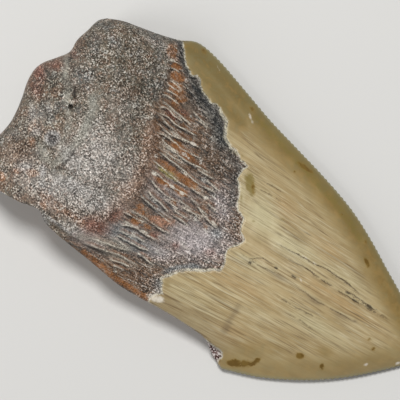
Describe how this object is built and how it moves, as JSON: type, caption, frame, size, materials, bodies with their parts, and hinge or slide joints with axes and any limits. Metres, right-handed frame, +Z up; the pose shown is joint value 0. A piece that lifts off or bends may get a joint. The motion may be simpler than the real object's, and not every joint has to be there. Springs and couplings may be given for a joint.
{
  "type": "fossil megalodon tooth",
  "caption": "Partial fossil shark tooth that lies on its labial face: worn bony root, ridged neck, enamelled crown with finely serrated cutting edges and a lengthwise break.",
  "frame": {"origin": "centre of the bounding box in plan, on the surface that the tooth lies on", "axes": "+X along the tooth from the base of the root to the tip, +Y towards the whole cutting edge, +Z up out of the lingual face"},
  "size_m": [0.0992, 0.056, 0.0183],
  "materials": {
    "fossil_tooth": "satin tan enamel on the crown, dull speckled grey-brown bone on the root, ridged orange-brown and grey neck between them"
  },
  "bodies": {
    "root": {"tooth": "fossil_tooth"}
  },
  "joints": []
}
